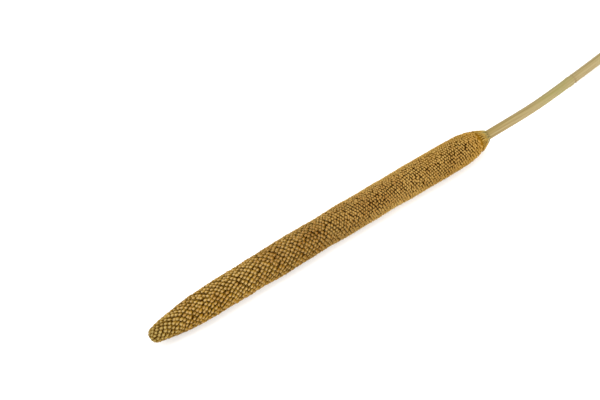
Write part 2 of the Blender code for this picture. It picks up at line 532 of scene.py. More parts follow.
@dataclass
class MeshDraft:
    """Points, faces and point values of a piece, before Blender has them.

    Attributes:
        points: one row of x, y, z a point.
        quads: point numbers of the four-sided faces.
        triangles: point numbers of the three-sided faces.
        values: numbers or vectors for each point, by name.
    """

    points: np.ndarray
    quads: np.ndarray
    triangles: np.ndarray
    values: dict[str, np.ndarray]

    def settled(self, form: "SpikeForm") -> "MeshDraft":
        """The same draft with all of it above the floor."""
        return replace(self, points=form.settle(self.points))

    def to_piece(self, name: str, material: bpy.types.Material, slot: Slot) -> bpy.types.Object:
        """Makes the piece in Blender and sets it on its body.

        Args:
            name: the piece's name.
            material: its finish.
            slot: the record's slot that the finish stands for; not used.

        Returns:
            The piece, with its object at the origin.
        """
        loops = np.concatenate([self.quads.reshape(-1), self.triangles.reshape(-1)])
        sides = np.concatenate([np.full(len(self.quads), 4), np.full(len(self.triangles), 3)])
        mesh = bpy.data.meshes.new(name)
        mesh.vertices.add(len(self.points))
        mesh.vertices.foreach_set("co", self.points.astype(np.float32).reshape(-1))
        mesh.loops.add(len(loops))
        mesh.loops.foreach_set("vertex_index", loops.astype(np.int32))
        mesh.polygons.add(len(sides))
        mesh.polygons.foreach_set("loop_start", (np.cumsum(sides) - sides).astype(np.int32))
        for key, value in self.values.items():
            kind = "FLOAT" if value.ndim == 1 else "FLOAT_VECTOR"
            field = "value" if value.ndim == 1 else "vector"
            made = mesh.attributes.new(key, kind, "POINT")
            made.data.foreach_set(field, value.astype(np.float32).reshape(-1))
        mesh.update(calc_edges=True)
        mesh.shade_smooth()
        mesh.materials.append(material)
        piece = bpy.data.objects.new(name, mesh)
        bpy.context.scene.collection.objects.link(piece)
        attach(piece, BODY)
        LOG.info("%s: %d points, %d faces", name, len(self.points), len(sides))
        return piece


def ring_faces(rings: int, sides: int) -> tuple[np.ndarray, np.ndarray]:
    """Faces of a closed row of rings, facing out.

    Corner c of ring r is point r * sides + c, and the middles of the first and the last
    ring's ends are the two points after the last ring.

    Args:
        rings: how many rings there are.
        sides: corners in each ring.

    Returns:
        The quads between neighbouring rings, and the triangles of the fans at both ends.
    """
    corner = np.arange(sides)
    after = (corner + 1) % sides
    start = np.arange(rings - 1)[:, None] * sides
    quads = np.stack([start + corner, start + after, start + after + sides, start + corner + sides], axis=-1)
    last = (rings - 1) * sides
    middle = rings * sides
    low = np.stack([after, corner, np.full(sides, middle)], axis=-1)
    high = np.stack([last + corner, last + after, np.full(sides, middle + 1)], axis=-1)
    return quads.reshape(-1, 4), np.concatenate([low, high])


def bell(value: np.ndarray, middle: float, reach: float) -> np.ndarray:
    """A bell curve: e to the power of minus the squared distance from the middle over the reach."""
    return np.exp(-(((value - middle) / reach) ** 2))


@dataclass(frozen=True)
class TurnedUnit:
    """A small closed form on rings of a few sides, to be repeated many times.

    Attributes:
        heights: height of each ring over the unit's foot, and last of its apex.
        girths: radius of each ring, one fewer than the heights.
        sides: corners in each ring.
        squareness: 2 for round rings, down to 1 for diamonds.
    """

    heights: tuple[float, ...]
    girths: tuple[float, ...]
    sides: int
    squareness: float = 2.0

    def points(self) -> np.ndarray:
        """Corners of the rings, ring by ring, then the foot's middle and the apex.

        A ring is the curve on which |x|^p + |y|^p is the girth to the power p.

        Returns:
            One row of x, y, z a point.
        """
        angle = TURN * np.arange(self.sides) / self.sides
        power = self.squareness
        reach = (np.abs(np.cos(angle)) ** power + np.abs(np.sin(angle)) ** power) ** (-1 / power)
        girth = np.asarray(self.girths)[:, None] * reach
        height = np.broadcast_to(np.asarray(self.heights[:-1])[:, None], girth.shape)
        rings = np.stack([girth * np.cos(angle), girth * np.sin(angle), height], axis=-1)
        ends = np.array([[0.0, 0.0, self.heights[0]], [0.0, 0.0, self.heights[-1]]])
        return np.concatenate([rings.reshape(-1, 3), ends])

    def faces(self) -> tuple[np.ndarray, np.ndarray]:
        """Quads and triangles, facing out."""
        return ring_faces(len(self.girths), self.sides)

    def repeat(
        self, origins: np.ndarray, frames: np.ndarray, sizes: np.ndarray, lean: float, kinds: np.ndarray
    ) -> MeshDraft:
        """Copies the unit to many places.

        Each corner is scaled, sheared along the second axis by the lean times its height,
        and then set out along the three axes of its copy's frame.

        Args:
            origins: where each copy's zero height stands.
            frames: three unit axes for each copy, as rows.
            sizes: scale along the three axes.
            lean: shear of the copies.
            kinds: one number a copy, kept for the finish.

        Returns:
            All the copies as one draft, with "rise" and "kind" for each point.
        """
        unit = self.points()
        quads, triangles = self.faces()
        local = unit[None] * sizes[:, None, :]
        local[..., 1] += lean * (local[..., 2] - local[:, :1, 2])
        placed = origins[:, None] + np.einsum("gpi,gij->gpj", local, frames)
        step = len(unit) * np.arange(len(origins))[:, None, None]
        low, high = self.heights[0], self.heights[-1]
        rise = (unit[:, 2] - low) / (high - low)
        return MeshDraft(
            points=placed.reshape(-1, 3),
            quads=(quads[None] + step).reshape(-1, 4),
            triangles=(triangles[None] + step).reshape(-1, 3),
            values={"rise": np.tile(rise, len(origins)), "kind": np.repeat(kinds, len(unit))},
        )


@dataclass(frozen=True)
class Spine(TurnedUnit):
    """A thin spike of four faces, on a foot of three corners."""

    heights: tuple[float, ...] = (0.0, 1.0)
    girths: tuple[float, ...] = (1.0,)
    sides: int = 3

    def points(self) -> np.ndarray:
        """The foot's three corners and the apex."""
        return np.delete(super().points(), self.sides, axis=0)

    def faces(self) -> tuple[np.ndarray, np.ndarray]:
        """No quads, and the foot and the three sides as triangles, facing out."""
        return np.empty((0, 4), dtype=int), np.array([[0, 2, 1], [0, 1, 3], [1, 2, 3], [2, 0, 3]])


@dataclass(frozen=True)
class Ripple:
    """A smooth seeded unevenness over the spike, about as large as one either way.

    Attributes:
        seed: of the draws.
        waves: how many sine waves are added up.
        shortest: length of the shortest wave along the spike.
        longest: length of the longest one.
        turns: most waves in one turn round it.
    """

    seed: int
    waves: int = 12
    shortest: float = 0.010
    longest: float = 0.070
    turns: int = 4

    def at(self, along: np.ndarray, angle: np.ndarray) -> np.ndarray:
        """Sum of sine waves in the distance along the spike and the angle round it.

        Args:
            along: distances from the spike's tip.
            angle: angles round its axis.

        Returns:
            The unevenness at each place.
        """
        draw = np.random.default_rng(self.seed)
        pace = TURN / draw.uniform(self.shortest, self.longest, self.waves)
        rounds = draw.integers(-self.turns, self.turns + 1, self.waves)
        phase = draw.uniform(0, TURN, self.waves)
        wave = along[..., None] * pace + angle[..., None] * rounds + phase
        return np.sin(wave).sum(axis=-1) * math.sqrt(2 / self.waves)


@dataclass(frozen=True)
class SpikeForm:
    """Outline and axis of the spike, laid on the box of its solid.

    Attributes:
        tip_x: where the blunt tip is.
        axis_y: side place of the axis at its ends.
        axis_z: height of the axis over the floor.
        length: from tip to foot.
        radius: over the grain tips where it is thickest.
        bow: how far the middle stands out to the side.
        nose_drop: share of the radius that the narrow blunt end lacks.
        nose_reach: share of the length over which that fades.
        taper_drop: share of the radius that the long slow taper lacks.
        taper_reach: share of the length over which that fades.
        nose_round: share of the length that is rounded at the tip.
        foot_start: share of the length where the foot begins to draw in.
        foot_drop: share of the radius that the foot lacks at its end.
        foot_power: how late the foot draws in.
        press: height below which the underside is squeezed flat.
        samples: places at which the outline's width is measured.
    """

    tip_x: float
    axis_y: float
    axis_z: float
    length: float = 0.290
    radius: float = 0.012
    bow: float = 0.0015
    nose_drop: float = 0.45
    nose_reach: float = 0.055
    taper_drop: float = 0.16
    taper_reach: float = 0.21
    nose_round: float = 0.014
    foot_start: float = 0.88
    foot_drop: float = 0.55
    foot_power: float = 3.1
    press: float = 0.0012
    samples: int = 400

    @classmethod
    def on_node(cls, node: str) -> "SpikeForm":
        """Reads the place off a solid's box.

        Args:
            node: the solid's name.

        Returns:
            The form that fits it.
        """
        low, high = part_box(node)
        form = cls(tip_x=low.x, axis_y=0.0, axis_z=high.z - cls.radius)
        share = np.linspace(0, 1, cls.samples)
        side = form.bow * np.sin(math.pi * share)
        out = form.radius_at(share)
        middle = ((side + out).max() + (side - out).min()) / 2
        return replace(form, axis_y=(low.y + high.y) / 2 - middle)

    def radius_at(self, share: np.ndarray) -> np.ndarray:
        """Radius over the grain tips at a share of the length from the tip.

        It is the full radius less two decaying exponentials towards the tip, rounded at
        the very end by a quarter ellipse and drawn in to the foot by a power curve.

        Args:
            share: 0 at the tip and 1 at the foot.

        Returns:
            The radius at each place.
        """
        taper = 1 - self.nose_drop * np.exp(-share / self.nose_reach)
        taper = taper - self.taper_drop * np.exp(-share / self.taper_reach)
        nose = np.clip(share / self.nose_round, 0, 1)
        foot = np.clip((share - self.foot_start) / (1 - self.foot_start), 0, 1)
        return self.radius * taper * np.sqrt(nose * (2 - nose)) * (1 - self.foot_drop * foot**self.foot_power)

    def settle(self, points: np.ndarray) -> np.ndarray:
        """Squeezes what would sink into the floor into a thin layer above it.

        Below the press height p, a height z becomes p times exp((z - p) / p).

        Args:
            points: x, y, z of each point, last axis.

        Returns:
            The points, all above the floor.
        """
        height = points[..., 2]
        low = self.press * np.exp((np.minimum(height, self.press) - self.press) / self.press)
        settled = points.copy()
        settled[..., 2] = np.where(height < self.press, low, height)
        return settled

    def place(self, along: np.ndarray, out: np.ndarray, angle: np.ndarray) -> np.ndarray:
        """Points round the bowed axis, which is half a sine wave to the side.

        Args:
            along: distance from the tip.
            out: distance from the axis.
            angle: angle round the axis.

        Returns:
            x, y, z of each point, last axis.
        """
        side = self.bow * np.sin(math.pi * np.clip(along / self.length, 0, 1))
        parts = [
            self.tip_x + along,
            self.axis_y + side + out * np.cos(angle),
            self.axis_z + out * np.sin(angle),
        ]
        return np.stack(np.broadcast_arrays(*parts), axis=-1)

    def frames(self, slope: np.ndarray, angle: np.ndarray) -> np.ndarray:
        """Three axes at places on the outline: round the spike, towards the tip, and outwards.

        Args:
            slope: how fast the radius grows with the distance from the tip.
            angle: angle round the axis.

        Returns:
            The axes as rows, one set a place.
        """
        stretch = np.hypot(1, slope)
        zero = np.zeros_like(angle)
        round_it = np.stack([zero, np.sin(angle), -np.cos(angle)], axis=-1)
        rise = slope / stretch
        to_tip = np.stack([-1 / stretch, -rise * np.cos(angle), -rise * np.sin(angle)], axis=-1)
        outward = np.stack([-rise, np.cos(angle) / stretch, np.sin(angle) / stretch], axis=-1)
        return np.stack([round_it, to_tip, outward], axis=-2)


def turn_frames(frames: np.ndarray, angle: np.ndarray) -> np.ndarray:
    """Turns each frame round its outward axis.

    Args:
        frames: three axes for each place, as rows.
        angle: how far each one turns.

    Returns:
        The turned frames.
    """
    cosine = np.cos(angle)[:, None]
    sine = np.sin(angle)[:, None]
    first = cosine * frames[:, 0] + sine * frames[:, 1]
    second = cosine * frames[:, 1] - sine * frames[:, 0]
    return np.stack([first, second, frames[:, 2]], axis=-2)


def tilt_frames(frames: np.ndarray, tilt: np.ndarray) -> np.ndarray:
    """Leans each frame's outward axis over by two small slopes and squares it up again.

    Args:
        frames: three axes for each place, as rows.
        tilt: slope along the first and the second axis for each place.

    Returns:
        The leaned frames.
    """
    outward = frames[:, 2] + tilt[:, :1] * frames[:, 0] + tilt[:, 1:] * frames[:, 1]
    outward = outward / np.linalg.norm(outward, axis=1, keepdims=True)
    first = np.cross(frames[:, 1], outward)
    first = first / np.linalg.norm(first, axis=1, keepdims=True)
    return np.stack([first, np.cross(outward, first), outward], axis=-2)


@dataclass
class GrainSpiral:
    """Places of the grains on the spike: a golden-angle spiral, closer set towards the foot.

    Attributes:
        form: the spike's outline.
        tip_pitch: distance between neighbouring grains in the half by the tip.
        foot_pitch: the same in the half by the foot.
        forward: slope of the grains towards the tip, in the half by the tip.
        backward: the same in the half by the foot.
        fade: distance from the tip over which that slope grows up.
        droop: lean of the grains by the tip to the side and upwards, as shares of their slope.
        change_at: share of the length where one half turns into the other.
        change_over: share of the length over which it does.
        stray: spread of the grains' places, as a share of the pitch.
        lean: size of the wavy unevenness of their slope.
        shear: slope at which the rows by the foot wind on round the spike.
        lump: size of the wavy unevenness of their height.
        sink: how far below the outline they stand.
        start: share of the length where the spiral begins.
        end: share of the length where it ends.
        samples: places at which the skin's area is added up.
        seed: of the random draws.
    """

    form: SpikeForm
    tip_pitch: float = 0.00325
    foot_pitch: float = 0.00215
    forward: float = 2.00
    backward: float = 0.28
    fade: float = 0.012
    droop: tuple[float, float] = (0.086, -0.611)
    change_at: float = 0.50
    change_over: float = 0.06
    stray: float = 0.09
    lean: float = 0.11
    shear: float = -0.7
    lump: float = 0.00013
    sink: float = 0.0006
    start: float = 0.0004
    end: float = 0.9715
    samples: int = 6000
    seed: int = 7

    def footward(self, along: np.ndarray) -> np.ndarray:
        """0 towards the tip and 1 towards the foot, with a logistic step between."""
        share = along / self.form.length
        return 1 / (1 + np.exp((self.change_at - share) / self.change_over))

    def __post_init__(self) -> None:
        """Works out each grain's place, and then its frame and its point."""
        self._set_places(np.random.default_rng(self.seed))
        self._set_frames()

    def _set_places(self, draw: np.random.Generator) -> None:
        """Sets each grain's distance, angle, outline and kind.

        The number of grains up to a place is the sum over the skin up to there of its
        area over that of a grain's cell, and each grain is turned on from the last by
        the golden angle. All stray a little round the spike, and all but those at the
        very tip along it.

        Args:
            draw: source of the random draws.
        """
        share = self.start + (self.end - self.start) * np.linspace(0, 1, self.samples) ** 2
        along = share * self.form.length
        out = self.form.radius_at(share)
        skin = np.hypot(np.diff(along), np.diff(out)) * math.pi * (out[1:] + out[:-1])
        pitch = self.tip_pitch + (self.foot_pitch - self.tip_pitch) * self.footward(along)
        cell = math.sqrt(3) / 2 * pitch[1:] ** 2
        count = np.concatenate([[0], np.cumsum(skin / cell)])
        turned = self.shear * self.footward(along[1:]) * np.diff(along) / out[1:]
        twist = np.concatenate([[0], np.cumsum(turned)])
        number = np.arange(0.5, count[-1])
        self.along = np.interp(number, count, along)
        self.out = np.interp(number, count, out)
        self.slope = np.interp(number, count, np.gradient(out, along))
        self.pitch = np.interp(number, count, pitch)
        self.angle = (np.interp(number, count, twist) - number * GOLDEN_ANGLE) % TURN
        shift = self.stray * self.pitch * draw.normal(0, 1, (2, len(number)))
        self.along = self.along + shift[0] * (self.along > 2 * self.pitch)
        self.angle = self.angle + shift[1] / np.maximum(self.out, self.pitch)
        self.kind = draw.uniform(0, 1, len(number))

    def _set_frames(self) -> None:
        """Sets each grain's frame, leaning to the tip, and its point.

        The slope towards the tip grows from 0 at the very tip by 1 - exp(-distance / fade).
        A seeded ripple is added to it, and the grains by the tip also droop.
        """
        ripples = [Ripple(seed).at(self.along, self.angle) for seed in (self.seed + 1, self.seed + 2)]
        slopes = self.lean * np.stack(ripples, axis=-1)
        footward = self.footward(self.along)
        forward = self.forward + (self.backward - self.forward) * footward
        forward = forward * (1 - np.exp(-self.along / self.fade))
        aside = self.droop[0] * np.sin(self.angle) - self.droop[1] * np.cos(self.angle)
        slopes[:, 0] += aside * forward * (1 - footward)
        slopes[:, 1] += forward
        lump = Ripple(self.seed + 3, shortest=0.02, turns=2).at(self.along, self.angle)
        self.upright = self.form.frames(self.slope, self.angle)
        self.frame = tilt_frames(self.upright, slopes)
        rise = self.lump * lump - self.sink
        self.point = self.form.place(self.along, self.out, self.angle) + rise[:, None] * self.upright[:, 2]

    def sections(self, count: int = 3) -> list[np.ndarray]:
        """Row numbers of the grains in equal lots, from the tip to the foot."""
        return np.array_split(np.arange(len(self.along)), count)


@dataclass(frozen=True)
class SpikeBed:
    """The closed surface below the grains, dark with painted shade, with a socket for the stem.

    Attributes:
        form: the spike's outline.
        depth: of the bed under the outline.
        start: share of the length where the bed begins.
        crowding: how much closer its rings stand by the tip.
        step: how much less deep the bed is at the foot.
        step_at: share of the length where that step begins.
        step_over: share of the length that it takes.
        least: least radius.
        socket_radius: radius of the socket.
        socket_depth: depth of the socket.
        stations: rings from the tip to the foot.
        sides: corners in each ring.
    """

    form: SpikeForm
    depth: float = 0.0023
    start: float = 0.012
    crowding: float = 1.3
    step: float = 0.0010
    step_at: float = 0.955
    step_over: float = 0.015
    least: float = 0.0004
    socket_radius: float = 0.0038
    socket_depth: float = 0.006
    stations: int = 220
    sides: int = 48

    def draft(self) -> MeshDraft:
        """Follows the outline at its depth, turns in over the foot and lines the socket.

        Returns:
            The bed as a draft.
        """
        share = self.start + (1 - self.start) * np.linspace(0, 1, self.stations) ** self.crowding
        depth = self.depth - self.step * np.clip((share - self.step_at) / self.step_over, 0, 1)
        out = np.maximum(self.form.radius_at(share) - depth, self.least)
        foot = self.form.length
        along = np.concatenate([share * foot, [foot, foot - self.socket_depth]])
        out = np.concatenate([out, [self.socket_radius, self.socket_radius]])
        angle = TURN * np.arange(self.sides) / self.sides
        rings = self.form.place(along[:, None], out[:, None], angle[None, :])
        ends = self.form.place(along[[0, -1]], np.zeros(2), np.zeros(2))
        points = np.concatenate([rings.reshape(-1, 3), ends])
        return MeshDraft(points, *ring_faces(len(along), self.sides), {}).settled(self.form)


@dataclass(frozen=True)
class FootCollar:
    """Long narrow scales in two rings that lie along the foot, from a groove to the stem.

    Attributes:
        form: the spike's outline.
        start: share of the spike's length where the outer ring begins.
        inner_start: how much further on the inner ring begins.
        count: scales in both rings.
        length: of an outer scale.
        inner_short: how much shorter an inner one is.
        half_width: of a scale.
        flatness: thickness of a scale over its width.
        sink: least and most depth of the scales' roots under the outline.
        end_out: distance of the outer scales' ends from the axis.
        end_inner: how much closer to it the inner ones end.
        spread: of the scales' angle, start, length and share of the width.
    """

    form: SpikeForm
    start: float = 0.9735
    inner_start: float = 0.011
    count: int = 60
    length: float = 0.0088
    inner_short: float = 0.0021
    half_width: float = 0.00050
    flatness: float = 0.9
    sink: tuple[float, float] = (0.0004, 0.0008)
    end_out: float = 0.0041
    end_inner: float = 0.0003
    spread: tuple[float, float, float, float] = (0.025, 0.00025, 0.0004, 0.20)

    def draft(self, draw: np.random.Generator) -> MeshDraft:
        """Lays each scale from its root on the outline to its end by the stem.

        Args:
            draw: source of the random draws.

        Returns:
            The scales as one draft.
        """
        unit = TurnedUnit(heights=(-1.0, -0.75, -0.4, -0.1, 0.0), girths=(0.6, 0.95, 1.0, 0.7), sides=6)
        total = self.count
        number = np.arange(total)
        inner = number % 2
        angle = TURN * number / total + draw.normal(0, self.spread[0], total)
        start = self.form.length * (self.start + self.inner_start * inner)
        along = start + draw.normal(0, self.spread[1], total)
        out = self.form.radius_at(along / self.form.length) - draw.uniform(*self.sink, total)
        length = draw.normal(self.length, self.spread[2], total) - self.inner_short * inner
        drop = self.end_out - self.end_inner * inner - out
        slope = drop / np.sqrt(length**2 - drop**2)
        width = self.half_width * draw.normal(1, self.spread[3], total)
        size = np.stack([self.flatness * width, width, length], axis=-1)
        points = self.form.place(along, out, angle)
        frames = np.roll(self.form.frames(slope, angle), 1, axis=1)
        return unit.repeat(points, frames, size, 0.0, draw.uniform(0, 1, total)).settled(self.form)


@dataclass
class SpikePieces:
    """The spike: bed in painted shade, grains, husk scales, bristles and the collar at its foot.

    Attributes:
        form: the spike's outline.
        spiral: places of the grains.
        grain_width: of a grain round the spike over the plain one, by the tip and by the foot.
        grain_depth: the same across that width.
        grain_length: the same outwards, by the tip.
        grain_short: how much less that is by the foot.
        grain_spread: spread of those three.
        grain_twist: spread of the grains' turn round their own axis.
        grain_sway: spread of the small slopes of each grain.
        grain_lean: shear of each grain.
        grain_sink: how far at most a grain is sunk.
        last_wide: how much wider the last row before the collar is.
        last_reach: distance before that row over which this fades.
        top_power: power that the height on a grain is raised to by the tip, and its gain by the foot.
        turn_spread: spread of the places round a grain, as a share of the turn between them.
        reach_spread: spread of their distance from the grain, as a share of it.
        scales_each: husk scales round a grain.
        scale_reach: their distance from its middle, as a share of the pitch.
        scale_size: half width, half thickness and length of a scale.
        scale_sink: how far a scale is sunk.
        scale_lean: shear of each scale.
        scale_spread: spread of the scales' size, sink and slopes.
        bristles_each: bristles round a grain.
        bristle_reach: their distance from its middle, as a share of the pitch.
        bristle_thickness: radius of a bristle at its root.
        bristle_depth: how far below the outline the bristles are rooted.
        bristle_length: shortest and longest bristle.
        bristle_share: share of those lengths by the tip, and how much less it is by the foot.
        bristle_spread: spread of the bristles' thickness and slopes.
        seed: of the random draws.
    """

    form: SpikeForm
    spiral: GrainSpiral
    grain_width: tuple[float, float] = (0.73, 1.18)
    grain_depth: float = 0.80
    grain_length: float = 1.22
    grain_short: float = 0.22
    grain_spread: float = 0.09
    grain_twist: float = 0.25
    grain_sway: float = 0.07
    grain_lean: float = 0.10
    grain_sink: float = 0.00035
    last_wide: float = 0.35
    last_reach: float = 0.005
    top_power: tuple[float, float] = (0.45, 0.55)
    turn_spread: float = 0.25
    reach_spread: float = 0.12
    scales_each: int = 2
    scale_reach: float = 0.40
    scale_size: tuple[float, float, float] = (0.00105, 0.00026, 0.00170)
    scale_sink: float = 0.00060
    scale_lean: float = 0.12
    scale_spread: tuple[float, float, float] = (0.1, 0.2, 0.10)
    bristles_each: int = 13
    bristle_reach: float = 0.40
    bristle_thickness: float = 0.00016
    bristle_depth: float = 0.0020
    bristle_length: tuple[float, float] = (0.0017, 0.0029)
    bristle_share: tuple[float, float] = (0.95, 0.23)
    bristle_spread: tuple[float, float] = (0.15, 0.13)
    seed: int = 23

    def build(self) -> list[bpy.types.Object]:
        """Makes every piece of the spike.

        Returns:
            The pieces: the bed, then grains and bristles by turns, the scales and the collar.
        """
        draw = np.random.default_rng(self.seed)
        ends = {"tip_x": self.form.tip_x, "foot_x": self.form.tip_x + self.form.length}
        grain = GrainFinish("millet_grain", **ends).build()
        # Husk scales and bristles keep the default near-black roots: painted shade deep between the grains.
        husk = HuskFinish("millet_husk").build()
        bristle = HuskFinish(
            "millet_bristle", middle=(0.32, 0.172, 0.012), tip=(0.62, 0.465, 0.180), **ends
        ).build()
        collar = HuskFinish(
            "foot_collar",
            root=(0.25, 0.200, 0.070),
            middle=(0.31, 0.193, 0.043),
            tip=(0.31, 0.178, 0.033),
            spots=0.6,
        ).build()
        bed = BedFinish("spike_bed", foot_x=ends["foot_x"]).build()
        pieces = [SpikeBed(self.form).draft().to_piece("spike_bed", bed, Slot.GRAINS)]
        for place, chosen in zip(("by_tip", "middle", "by_foot"), self.spiral.sections()):
            pieces.append(self.grains(chosen, draw).to_piece(f"grains_{place}", grain, Slot.GRAINS))
            pieces.append(self.bristles(chosen, draw).to_piece(f"bristles_{place}", bristle, Slot.GRAINS))
        every = np.arange(len(self.spiral.along))
        pieces.append(self.scales(every, draw).to_piece("husk_scales", husk, Slot.GRAINS))
        pieces.append(FootCollar(self.form).draft(draw).to_piece("foot_collar", collar, Slot.GRAINS))
        return pieces

    def grains(self, chosen: np.ndarray, draw: np.random.Generator) -> MeshDraft:
        """Long grains that taper to a blunt point, leaning towards the tip of the spike.

        Args:
            chosen: row numbers of the grains of the spiral.
            draw: source of the random draws.

        Returns:
            The grains as one draft.
        """
        unit = TurnedUnit(
            heights=(-1.20, -0.80, -0.46, -0.21, -0.055, 0.0),
            girths=(0.20, 0.33, 0.41, 0.40, 0.27),
            sides=8,
            squareness=1.8,
        )
        spiral = self.spiral
        total = len(chosen)
        along = spiral.along[chosen]
        footward = spiral.footward(along)
        last_rows = np.exp((along - spiral.end * self.form.length) / self.last_reach)
        size = spiral.pitch[chosen, None] * draw.normal(1, self.grain_spread, (total, 3))
        size[:, 0] *= self.grain_width[0] + np.ptp(self.grain_width) * footward + self.last_wide * last_rows
        size[:, 1] *= self.grain_depth
        size[:, 2] *= self.grain_length - self.grain_short * footward
        frames = turn_frames(spiral.frame[chosen], draw.normal(0, self.grain_twist, total))
        frames = tilt_frames(frames, draw.normal(0, self.grain_sway, (total, 2)))
        points = spiral.point[chosen] - draw.uniform(0, self.grain_sink, (total, 1)) * spiral.frame[chosen, 2]
        draft = unit.repeat(points, frames, size, self.grain_lean, spiral.kind[chosen]).settled(self.form)
        # The power moves how far up each grain the painted shade of its finish reaches.
        power = np.repeat(self.top_power[0] + self.top_power[1] * footward, len(draft.points) // total)
        draft.values["rise"] = draft.values["rise"] ** power
        return draft

    def _round_each(
        self, chosen: np.ndarray, copies: int, reach: float, draw: np.random.Generator
    ) -> tuple[np.ndarray, np.ndarray, np.ndarray]:
        """Places round every grain, at nearly even turns with a random start.

        Args:
            chosen: row numbers of the grains.
            copies: how many round each grain.
            reach: their distance from the grain's middle, as a share of the pitch.
            draw: source of the random draws.

        Returns:
            Points level with the grain's tip, frames whose second axis faces the grain, and kinds.
        """
        start = draw.uniform(0, TURN, (len(chosen), 1))
        turn = start + TURN * np.arange(copies)[None, :] / copies
        turn = (turn + draw.normal(0, self.turn_spread * TURN / copies, turn.shape)).reshape(-1)
        rows = np.repeat(chosen, copies)
        level = self.spiral.upright[rows]
        reach = reach * self.spiral.pitch[rows] * draw.normal(1, self.reach_spread, len(turn))
        aside = np.cos(turn)[:, None] * level[:, 0] + np.sin(turn)[:, None] * level[:, 1]
        points = self.spiral.point[rows] + reach[:, None] * aside
        frames = turn_frames(self.spiral.frame[rows], turn + math.pi / 2)
        return points, frames, draw.uniform(0, 1, len(turn))

    def scales(self, chosen: np.ndarray, draw: np.random.Generator) -> MeshDraft:
        """Small pointed husk scales that clasp each grain from its sides.

        Args:
            chosen: row numbers of the grains of the spiral.
            draw: source of the random draws.

        Returns:
            The scales as one draft.
        """
        unit = TurnedUnit(heights=(-1.0, -0.42, 0.0), girths=(0.42, 0.5), sides=4, squareness=1.9)
        points, frames, kinds = self._round_each(chosen, self.scales_each, self.scale_reach, draw)
        total = len(kinds)
        size = np.array(self.scale_size) * draw.normal(1, self.scale_spread[0], (total, 3))
        sink = self.scale_sink * draw.normal(1, self.scale_spread[1], total)
        points = points - sink[:, None] * frames[:, 2]
        frames = tilt_frames(frames, draw.normal(0, self.scale_spread[2], (total, 2)))
        return unit.repeat(points, frames, size, self.scale_lean, kinds).settled(self.form)

    def bristles(self, chosen: np.ndarray, draw: np.random.Generator) -> MeshDraft:
        """Fine bristles round the grains, thin three-sided spikes that top them a little.

        Args:
            chosen: row numbers of the grains of the spiral.
            draw: source of the random draws.

        Returns:
            The bristles as one draft.
        """
        points, frames, kinds = self._round_each(chosen, self.bristles_each, self.bristle_reach, draw)
        total = len(kinds)
        footward = np.repeat(self.spiral.footward(self.spiral.along[chosen]), self.bristles_each)
        share = self.bristle_share[0] - self.bristle_share[1] * footward
        length = draw.uniform(*self.bristle_length, total) * share
        thickness = self.bristle_thickness * draw.normal(1, self.bristle_spread[0], total)
        size = np.stack([thickness, thickness, length], axis=-1)
        points = points - (self.bristle_depth * share)[:, None] * frames[:, 2]
        frames = tilt_frames(frames, draw.normal(0, self.bristle_spread[1], (total, 2)))
        return Spine().repeat(points, frames, size, 0.0, kinds).settled(self.form)


